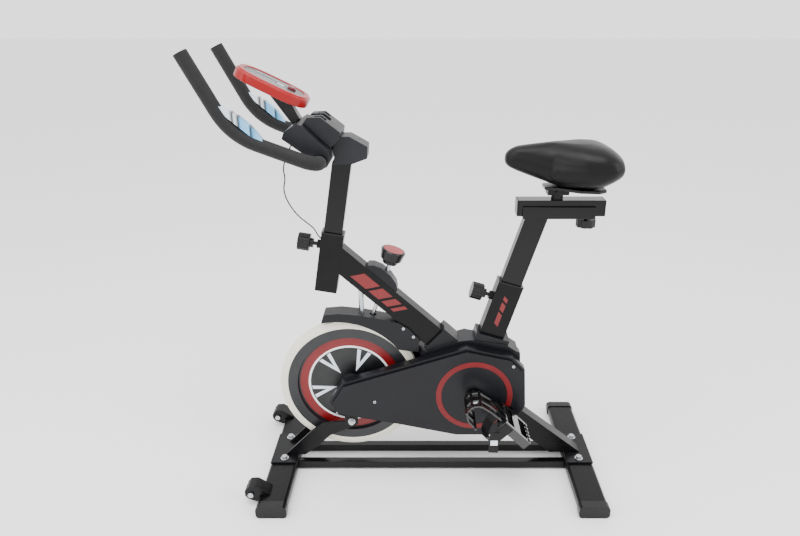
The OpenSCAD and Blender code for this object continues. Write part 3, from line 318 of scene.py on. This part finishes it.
def makeFlywheelPaint():
    material, tree = newMaterial("paintedCastIron")
    where = add(tree, "ShaderNodeTexCoord").outputs["Object"]
    fromHub = add(tree, "ShaderNodeVectorMath", {"operation": "SUBTRACT", 1: tuple(flywheelCentre)},
                  {0: where}).outputs[0]
    flat = add(tree, "ShaderNodeVectorMath", {"operation": "MULTIPLY", 1: (1, 0, 1)},
               {0: fromHub}).outputs[0]
    radius = add(tree, "ShaderNodeVectorMath", {"operation": "LENGTH"}, {0: flat}).outputs["Value"]
    patches = noiseFac(tree, where, 25, 6.0, 0.65)
    color = None
    for name in ("web", "pinstripe", "red", "charcoal", "cream"):
        ring = flywheelPaint[name]
        if color is None:
            color = add(tree, "ShaderNodeRGB").outputs[0]
            color.default_value = hexColor(ring["color"])
            continue
        edge = twoNumbers(tree, "GREATER_THAN", radius, ring["from"] * flywheelRadius)
        color = layOver(tree, edge, color, ring["color"])
    # thin dark scuffs that run round the rim, where it has rubbed
    around = noiseFac(tree, where, scuffLook["lengthMm"], 2.0)
    band = add(tree, "ShaderNodeTexWave", {"wave_type": "RINGS", "rings_direction": "Y",
               "Scale": scuffLook["ringScale"], "Distortion": 1.2, "Detail": 2.0},
               {"Vector": fromHub}).outputs["Fac"]
    thin = mapRange(tree, band, 0, 1, 0.985, 1.0)
    broken = mapRange(tree, around, 0, 1, 0.56, 0.6)
    scuff = twoNumbers(tree, "MULTIPLY", thin, broken)
    outer = twoNumbers(tree, "GREATER_THAN", radius, scuffLook["from"] * flywheelRadius)
    color = layOver(tree, twoNumbers(tree, "MULTIPLY", scuff, outer), color, scuffLook["color"])
    rough = mapRange(tree, patches, 0.3, 0.5)
    bump = bumpFrom(tree, noiseFac(tree, where, 1.5, 3.0), 0.35, 0.0001)
    links = {"Base Color": color, "Roughness": rough, "Normal": bump}
    return finishSurface(tree, {"IOR": 1.5}, links, material)


paintedCastIron = makeFlywheelPaint()


# Pulse plate: pressed stainless foil under a blue film, with black rubber breaks along it
def makePulseFilm():
    material, tree = newMaterial("pulseFilm")
    where = add(tree, "ShaderNodeTexCoord").outputs["Object"]
    low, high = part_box("pulse_plates")
    along = add(tree, "ShaderNodeSeparateXYZ", None, {0: where}).outputs["X"]
    part = mapRange(tree, along, 0, 1, low.x, high.x)
    ramp = add(tree, "ShaderNodeValToRGB", None, {"Fac": part})
    # place along the plate, and the tint there
    stops = [(0.0, "cfe3f2"), (0.22, "dfe7ee"), (0.30, "1a1518"), (0.36, "d9e2ea"),
             (0.44, "1a1518"), (0.50, "6db2dd"), (0.68, "7fc0e8"), (0.72, "121416"),
             (0.80, "5fa9d8"), (1.0, "9fd0ee")]
    ramp.color_ramp.interpolation = "LINEAR"
    points = ramp.color_ramp.elements
    points[0].position, points[0].color = stops[0][0], hexColor(stops[0][1])
    points[1].position, points[1].color = stops[-1][0], hexColor(stops[-1][1])
    for place, shade in stops[1:-1]:
        points.new(place).color = hexColor(shade)
    rough = mapRange(tree, noiseFac(tree, where, 20, 3.0), 0.15, 0.3)
    links = {"Base Color": ramp.outputs["Color"], "Roughness": rough}
    return finishSurface(tree, {"Metallic": 0.35}, links, material)


pulseFilm = makePulseFilm()
whiteVinyl = coated("whiteVinyl", {"color": "dfe6ee", "tint": "cdd6e2", "patchMm": 20,
                    "rough": (0.35, 0.45), "grainMm": 2.0, "depthMm": 0.01, "ior": 1.5})
redVinyl = coated("redVinyl", {"color": "620003", "tint": "6e0106", "patchMm": 20,
                  "rough": (0.35, 0.45), "grainMm": 2.0, "depthMm": 0.01, "ior": 1.5})
lcdGlass = coated("lcdGlass", {"color": "0a0c0e", "tint": "0f1114", "patchMm": 30,
                  "rough": (0.05, 0.1), "grainMm": 5.0, "depthMm": 0.003, "ior": 1.52, "coat": 0.5})
consoleGrey = coated("consoleGrey", {"color": "3a3b3e", "tint": "434447", "patchMm": 30,
                     "rough": (0.3, 0.4), "grainMm": 1.5, "depthMm": 0.02, "ior": 1.53})
# a clear pedal reflector; its near-white is also a painted highlight standing in for the pedal's
# glints
reflectorWithPaintedGlint = coated("reflectorWithPaintedGlint", {"color": "e8e9ea", "tint": "cfd2d6", "patchMm": 5,
                   "rough": (0.12, 0.2), "grainMm": 2.5, "depthMm": 0.2, "ior": 1.49, "coat": 0.6})
print("stage: special materials")


def paint(piece, material):
    piece.data.materials.clear()
    piece.data.materials.append(material)
    for face in piece.data.polygons:
        face.material_index = 0
    return piece


bodies = frame["record"]["behaviour"]["bodies"]
bodyOf = {node: body for body, members in bodies.items() for node in members}
paint(lead, softPvc)


# A part shown with its real rounded edges: the same solid, its sharp edges eased by edgeMm
def easeEdges(node, material, edgeMm):
    mesh = nodes[node].data.copy()
    shape = bmesh.new()
    shape.from_mesh(mesh)
    bmesh.ops.remove_doubles(shape, verts=shape.verts, dist=1e-5)
    bmesh.ops.dissolve_limit(shape, angle_limit=math.radians(0.6), verts=shape.verts,
                             edges=shape.edges)
    shape.to_mesh(mesh)
    shape.free()
    piece = bpy.data.objects.new(node + "_finished", mesh)
    bpy.context.scene.collection.objects.link(piece)
    eased = piece.modifiers.new("easedEdges", "BEVEL")
    eased.width = edgeMm / 1000
    eased.segments = 3
    eased.limit_method = "ANGLE"
    eased.angle_limit = math.radians(38)
    for face in mesh.polygons:
        face.use_smooth = True
    flat = piece.modifiers.new("flatFaces", "WEIGHTED_NORMAL")
    flat.keep_sharp = True
    paint(piece, material)
    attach(piece, bodyOf[node])
    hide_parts(node)
    return piece


# node: (material, edge radius in mm); the radius is what the tube, plate or mould has
easedParts = {
    "main_tube": (powderCoatedSteel, 4), "head_sleeve": (powderCoatedSteel, 3.5),
    "seat_sleeve": (powderCoatedSteel, 3.5), "rear_leg": (powderCoatedSteel, 4),
    "bottom_bracket": (powderCoatedSteel, 1), "post_bushes": (blackNylon, 0.8),
    "floor_bars": (glossPaintedSteel, 2.5), "stabiliser_brackets": (satinPaintedPlate, 1.2),
    "fork_plates": (satinPaintedPlate, 1.2), "stabiliser_caps": (blackNylon, 2),
    "wheel_brackets": (satinPaintedPlate, 1.2), "flywheel_guard": (mouldedAbs, 1.8),
    "cover_left": (mouldedAbs, 2.2), "cover_right": (mouldedAbs, 2.2),
    "cover_top": (mouldedAbs, 2.2), "cover_rings": (ringRedAbs, 0.5),
    "tension_housing": (mouldedAbs, 3),
    "crank_arms": (glossPaintedSteel, 2), "pedal_left": (glossyNylon, 1),
    "pedal_right": (glossyNylon, 1),
    "strap_left": (softPvc, 0.5), "strap_right": (softPvc, 0.5),
    "handlebar_post": (glossPaintedSteel, 3), "head_cover": (glassFilledNylon, 3),
    "bar_shell": (glassFilledNylon, 3), "device_holder": (glassFilledNylon, 2.5),
    "console_post": (blackNylon, 2), "console_bezel": (redAbs, 2.5),
    "console_face": (consoleGrey, 0.8),
    "console_button": (wineButton, 1.2), "seat_post": (glossPaintedSteel, 3),
    "slider_tube": (glossPaintedSteel, 2.5), "slider_caps": (blackNylon, 1),
    "saddle_clamp": (satinPaintedPlate, 1.5), "saddle_base": (blackNylon, 2),
    "head_knob": (blackNylon, 1), "seat_knob": (blackNylon, 1), "slider_knob": (blackNylon, 1.5),
    "stabilisers": (powderCoatedSteel, 0.6), "frame_bolts": (zincPlatedSteel, 0.5),
    "wheel_bolts": (zincPlatedSteel, 0.6), "cover_screws": (zincPlatedSteel, 0.4),
}
for node, (material, edgeMm) in easedParts.items():
    easeEdges(node, material, edgeMm)

plainParts = {
    "bearings": zincPlatedSteel, "belt": hardRubber, "sensor_post": zincPlatedSteel,
    "flywheel": paintedCastIron, "flywheel_axle": zincPlatedSteel,
    "flywheel_pulley": oiledSteel, "crank_axle": zincPlatedSteel, "drive_pulley": blackNylon,
    "pedal_spindles": zincPlatedSteel, "wheel_left": hardRubber, "wheel_right": hardRubber,
    "handlebar": powderCoatedSteel, "handlebar_grips": closedCellFoam, "pulse_plates": pulseFilm,
    "tension_knob": blackNylon, "brake_rod": zincPlatedSteel,
}
for node, material in plainParts.items():
    paint(nodes[node], material)
    for face in nodes[node].data.polygons:
        face.use_smooth = True
    nodes[node].data.set_sharp_from_angle(angle=math.radians(35))
print("stage: CAD parts finished")


def bake(piece):
    # the mesh as its modifiers leave it, with none of them left on
    bpy.context.view_layer.update()
    shape = piece.evaluated_get(bpy.context.evaluated_depsgraph_get())
    mesh = bpy.data.meshes.new_from_object(shape)
    piece.modifiers.clear()
    piece.data = mesh


def stuffed(node, look):
    # the foam fills the cover out: gravity is off and pressure does the work
    low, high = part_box(node)
    middle = (low + high) / 2
    pad = bpy.data.objects.new(node + "_cover", nodes[node].data.copy())
    bpy.context.scene.collection.objects.link(pad)
    for v in pad.data.vertices:
        v.co = middle + (v.co - middle) * look["cut"]
    remesh = pad.modifiers.new("evenCover", "REMESH")
    remesh.mode = "VOXEL"
    remesh.voxel_size = look["meshMm"] / 1000
    even = pad.modifiers.new("evenPanels", "SMOOTH")
    even.factor = 0.5
    even.iterations = look["smooth"]
    bake(pad)
    before = [v.co.copy() for v in pad.data.vertices]
    cloth = pad.modifiers.new("vinylCover", "CLOTH")
    cloth.settings.quality = look["quality"]
    cloth.settings.mass = look["mass"]
    cloth.settings.tension_stiffness = look["stiffness"]
    cloth.settings.compression_stiffness = look["stiffness"]
    cloth.settings.bending_stiffness = look["bending"]
    cloth.settings.use_pressure = True
    cloth.settings.uniform_pressure_force = look["pressure"]
    cloth.settings.effector_weights.gravity = 0
    scene = bpy.context.scene
    for frameNumber in range(1, look["frames"] + 1):
        scene.frame_set(frameNumber)
    bake(pad)
    scene.frame_set(1)
    cap = look["moveMm"] / 1000
    for v, was in zip(pad.data.vertices, before):
        moved = v.co - was
        if moved.length > cap:
            moved *= cap / moved.length
        v.co = was + moved
        # it stays inside its solid and keeps just off its base
        v.co.x = min(max(v.co.x, low.x), high.x)
        v.co.y = min(max(v.co.y, low.y), high.y)
        v.co.z = min(max(v.co.z, low.z + look["liftMm"] / 1000), high.z)
    smooth = pad.modifiers.new("finerCover", "SUBSURF")
    smooth.levels = smooth.render_levels = 1
    bake(pad)
    return pad


saddleLow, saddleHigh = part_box("saddle_pad")
saddleLook = {"cut": 1.0, "meshMm": 5, "smooth": 22, "pressure": 4, "moveMm": 6, "liftMm": 0.2,
              "quality": 5, "mass": 0.3, "stiffness": 20, "bending": 2, "frames": 20}
saddle = stuffed("saddle_pad", saddleLook)
# a soft crease where the top panel meets the side panel, at a height that follows the underside
creaseLook = {"depthMm": 0.9, "widthMm": 7, "noseLift": 0.035, "fall": 0.075, "above": 0.052,
              "rearExtra": 0.012, "sideGain": 1.6}
for v in saddle.data.vertices:
    along = (v.co.x - saddleLow.x) / (saddleHigh.x - saddleLow.x)
    floorZ = saddleLow.z + max(0.0, creaseLook["noseLift"] - creaseLook["fall"] * along)
    line = floorZ + (creaseLook["above"] + creaseLook["rearExtra"] * along)
    away = abs(v.co.z - line) / (creaseLook["widthMm"] / 1000)
    sideways = abs(v.normal.y)
    share = min(1, sideways * creaseLook["sideGain"])
    dip = creaseLook["depthMm"] / 1000 * math.exp(-away * away) * share
    v.co -= v.normal * dip
paint(saddle, embossedVinyl)
for face in saddle.data.polygons:
    face.use_smooth = True
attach(saddle, bodyOf["saddle_pad"])
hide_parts("saddle_pad")
print("stage: saddle")


joints = {j["name"]: j for j in frame["joints"]}


def plate(name, outline, depth, place, material, body):
    # a thin piece: an outline in the first two axes of place, depth thick along its third
    shape = bmesh.new()
    bottom = [shape.verts.new(place @ Vector((x, y, 0))) for x, y in outline]
    top = [shape.verts.new(place @ Vector((x, y, depth))) for x, y in outline]
    count = len(outline)
    shape.faces.new(list(reversed(bottom)))
    shape.faces.new(top)
    for k in range(count):
        n = (k + 1) % count
        shape.faces.new([bottom[k], bottom[n], top[n], top[k]])
    bmesh.ops.recalc_face_normals(shape, faces=shape.faces)
    mesh = bpy.data.meshes.new(name)
    shape.to_mesh(mesh)
    shape.free()
    piece = bpy.data.objects.new(name, mesh)
    bpy.context.scene.collection.objects.link(piece)
    paint(piece, material)
    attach(piece, body)
    return piece


def axes(origin, first, third):
    # a placing matrix from an origin, its first axis and its third
    third = Vector(third).normalized()
    first = Vector(first)
    first = (first - third * first.dot(third)).normalized()
    second = third.cross(first)
    matrix = Matrix((first, second, third)).transposed().to_4x4()
    matrix.translation = Vector(origin)
    return matrix


def ringOutline(count, radius):
    turns = [2 * math.pi * k / count for k in range(count)]
    return [(radius * math.cos(turn), radius * math.sin(turn)) for turn in turns]


def rectangle(left, right, low, high):
    return [(left, low), (right, low), (right, high), (left, high)]


def slanted(left, right, half, slant):
    # a stripe outline that leans by slant each way
    return [(left - slant, -half), (right - slant, -half),
            (right + slant, half), (left + slant, half)]


# White V-shaped foil pieces on both faces of the flywheel web: the point is near the hub
foil = {"tip": 0.040, "outer": 0.1075, "halfAngle": 10.5, "arm": 0.0105, "depth": 0.00025,
        "webFace": 0.0031, "turns": [68, 130, 195, 255, 312, 10]}
for side in (-1, 1):
    for number, turn in enumerate(foil["turns"]):
        half = math.radians(foil["halfAngle"])
        reach = foil["outer"] * math.cos(half)
        spread = foil["outer"] * math.sin(half)
        arm = foil["arm"]
        outline = [(foil["tip"], 0), (reach, spread), (reach, spread - arm),
                   (foil["tip"] + arm * 2.6, 0), (reach, arm - spread), (reach, -spread)]
        angle = math.radians(turn)
        outward = Vector((math.cos(angle), 0, math.sin(angle)))
        spot = Vector((flywheelCentre.x, side * foil["webFace"], flywheelCentre.z))
        plate("webFoil%d%s" % (number, "L" if side < 0 else "R"), outline, foil["depth"],
              axes(spot, outward, (0, side, 0)), whiteVinyl, "flywheel")

# Plain red stripes on the main tube and the seat sleeve
tubeTop = Vector((-221.26 + shiftX, 0, 637.64)) / 1000
tubeWay = Vector((0.73998, 0, -0.67263))
tubeSide = -0.0201
stripes = {"from": 0.088, "lengths": [0.052, 0.034, 0.022, 0.012], "gap": 0.009, "high": 0.015,
           "slant": 0.011}
vinylDepth = 0.0002
start = stripes["from"]
for number, length in enumerate(stripes["lengths"]):
    outline = slanted(start, start + length, stripes["high"], stripes["slant"])
    spot = Vector((tubeTop.x, tubeSide, tubeTop.z))
    plate("tubeStripe%d" % number, outline, vinylDepth, axes(spot, tubeWay, (0, -1, 0)),
          redVinyl, "frame")
    start += length + stripes["gap"]

sleeveLean = math.radians(17.1)
sleeveWay = Vector((math.sin(sleeveLean), 0, math.cos(sleeveLean)))
sleeveSpot = Vector((0.22506, -0.0201, 0.476))
for number, (low, high) in enumerate(((-0.040, -0.006), (0.001, 0.022), (0.029, 0.040))):
    plate("sleeveStripe%d" % number, slanted(low, high, 0.006, 0.004), vinylDepth,
          axes(sleeveSpot, sleeveWay, (0, -1, 0)), redVinyl, "frame")

# Console: glass in the display slot, a pale label bar and two thin rules
buttonWay = Vector(joints["console_button_press"]["axis"])
consoleUp = -buttonWay.normalized()
consoleAlong = Vector((consoleUp.z, 0, -consoleUp.x))
buttonLow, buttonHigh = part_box("console_button")
faceVerts = [v.co for v in nodes["console_face"].data.vertices]
faceTop = max(v.dot(consoleUp) for v in faceVerts)
buttonMiddle = (buttonLow + buttonHigh) / 2
consoleHub = buttonMiddle - consoleAlong * 0.042
consoleHub += consoleUp * (faceTop - consoleHub.dot(consoleUp))
glassPlace = axes(consoleHub - consoleUp * 0.0013, consoleAlong, consoleUp)
facePlace = axes(consoleHub, consoleAlong, consoleUp)
plate("displayGlass", rectangle(-0.0435, 0.0015, -0.0066, 0.0066), 0.0006, glassPlace, lcdGlass,
      "bars")
plate("labelBar", rectangle(0.008, 0.024, -0.005, 0.005), vinylDepth, facePlace, whiteVinyl,
      "bars")
for number, across in enumerate((-0.026, 0.026)):
    plate("faceRule%d" % number, rectangle(-0.05, 0.03, across - 0.0007, across + 0.0007),
          vinylDepth, facePlace, whiteVinyl, "bars")

# Tension knob: a red moulded disc on the top of the black cup, with a raised middle
knobWay = Vector(joints["tension_turn"]["axis"])
knobVerts = [v.co for v in nodes["tension_knob"].data.vertices]
knobTop = max(v.dot(knobWay) for v in knobVerts)
rimVerts = [v for v in knobVerts if v.dot(knobWay) > knobTop - 0.0005]
knobMiddle = sum(rimVerts, Vector()) / len(rimVerts)
knobMiddle += knobWay * (knobTop - knobMiddle.dot(knobWay))
knobPlace = axes(knobMiddle, (0, 1, 0), knobWay)
for name, radius, depth in (("knobDisc", 0.0262, 0.0004), ("knobDiscCentre", 0.0085, 0.0007)):
    plate(name, ringOutline(48, radius), depth, knobPlace, redAbs, "knob")

# Pedals: a clear reflector on the tail of each body, whose near-white also stands in for the
# pedal's glints as a painted highlight, and a buckle on each strap
pedalTilt = math.radians(45)
crankSide, pedalWidth = 0.089, 0.088   # metres out from the middle, and across one pedal
pedalBack = Vector((math.cos(pedalTilt), 0, -math.sin(pedalTilt)))
pedalUp = Vector((math.sin(pedalTilt), 0, math.cos(pedalTilt)))
for side, name in ((-1, "left"), (1, "right")):
    spindle = Vector(joints[name + "_pedal_spin"]["pos_m"])
    middleY = side * (crankSide + pedalWidth / 2)
    tail = Vector((spindle.x, middleY, spindle.z)) + pedalBack * 0.0461
    plate(name + "ReflectorWithPaintedGlint", rectangle(-0.026, 0.026, -0.006, 0.006), 0.0015,
          axes(tail, (0, 1, 0), pedalBack), reflectorWithPaintedGlint, name + "_pedal")
    outerY = side * (crankSide + pedalWidth + 0.0044)
    buckle = Vector((spindle.x, outerY, spindle.z)) - pedalBack * 0.024 - pedalUp * 0.05
    plate(name + "Buckle", rectangle(-0.007, 0.007, -0.009, 0.009), 0.0009,
          axes(buckle, pedalBack - pedalUp, (0, side, 0)), whiteVinyl, name + "_pedal")

# The cross recesses of the cover screws are flat dark inlays, not cut recesses: painted shade where
# the recess lies in shadow
def shadedScrewRecess(name, spot, outward, arm):
    bar = arm * 0.28
    cross = [(bar, bar), (bar, arm), (-bar, arm), (-bar, bar), (-arm, bar), (-arm, -bar),
             (-bar, -bar), (-bar, -arm), (bar, -arm), (bar, -bar), (arm, -bar), (arm, bar)]
    plate(name, cross, 0.00012, axes(spot, (1, 0, 0.35), outward), oiledSteel, "frame")


def islands(mesh):
    # the separate solids of one mesh, as lists of corner places
    parent = list(range(len(mesh.vertices)))

    def root(a):
        while parent[a] != a:
            parent[a] = parent[parent[a]]
            a = parent[a]
        return a

    keyed = {}
    for v in mesh.vertices:
        key = tuple(round(c, 6) for c in v.co)
        if key in keyed:
            parent[root(v.index)] = root(keyed[key])
        else:
            keyed[key] = v.index
    for edge in mesh.edges:
        parent[root(edge.vertices[0])] = root(edge.vertices[1])
    groups = {}
    for v in mesh.vertices:
        groups.setdefault(root(v.index), []).append(v.co.copy())
    return list(groups.values())


# a painted-shade cross laid on the outer face of each cover screw head
for number, corners in enumerate(islands(nodes["cover_screws"].data)):
    outer = max(corners, key=lambda c: abs(c.y)).y
    side = -1 if outer < 0 else 1
    face = [c for c in corners if abs(c.y - outer) < 0.0003]
    middle = sum(face, Vector()) / len(face)
    middle.y = outer + side * 0.00001
    shadedScrewRecess("shadedScrewCross%d" % number, middle, (0, side, 0), 0.0022)
print("stage: applied pieces")


studio = {"floorColor": "f2f2f2", "floorReach": 30, "worldColor": "ffffff", "worldStrength": 2.0}
floorMesh = bpy.data.meshes.new("floor")
reach = studio["floorReach"]
floorCorners = [(x, y, 0) for x, y in rectangle(-reach, reach, -reach, reach)]
floorMesh.from_pydata(floorCorners, [], [(0, 1, 2, 3)])
floor = bpy.data.objects.new("floor", floorMesh)
bpy.context.scene.collection.objects.link(floor)
floorMaterial, floorTree = newMaterial("paleFloor")
finishSurface(floorTree, {"Base Color": hexColor(studio["floorColor"]), "Roughness": 0.6,
              "Specular IOR Level": 0.2}, {}, floorMaterial)
floorMesh.materials.append(floorMaterial)

world = bpy.data.worlds.new("paleRoom")
bpy.context.scene.world = world
world.use_nodes = True
background = world.node_tree.nodes["Background"]
background.inputs[0].default_value = hexColor(studio["worldColor"])
background.inputs[1].default_value = studio["worldStrength"]


def softLight(name, place, aim, size, watts):
    data = bpy.data.lights.new(name, "AREA")
    data.shape = "RECTANGLE"
    data.size, data.size_y = size
    data.energy = watts
    light = bpy.data.objects.new(name, data)
    light.location = place
    light.rotation_euler = (Vector(aim) - Vector(place)).to_track_quat("-Z", "Y").to_euler()
    bpy.context.scene.collection.objects.link(light)


softLight("topBox", (-0.3, -0.8, 3.2), (0, 0, 0.5), (2.2, 1.6), 75)
softLight("leftBox", (-2.4, -1.6, 1.7), (0, 0, 0.6), (1.4, 1.8), 30)
softLight("rightBox", (2.6, -1.0, 1.8), (0, 0, 0.6), (1.0, 1.8), 26)
print("stage: studio")
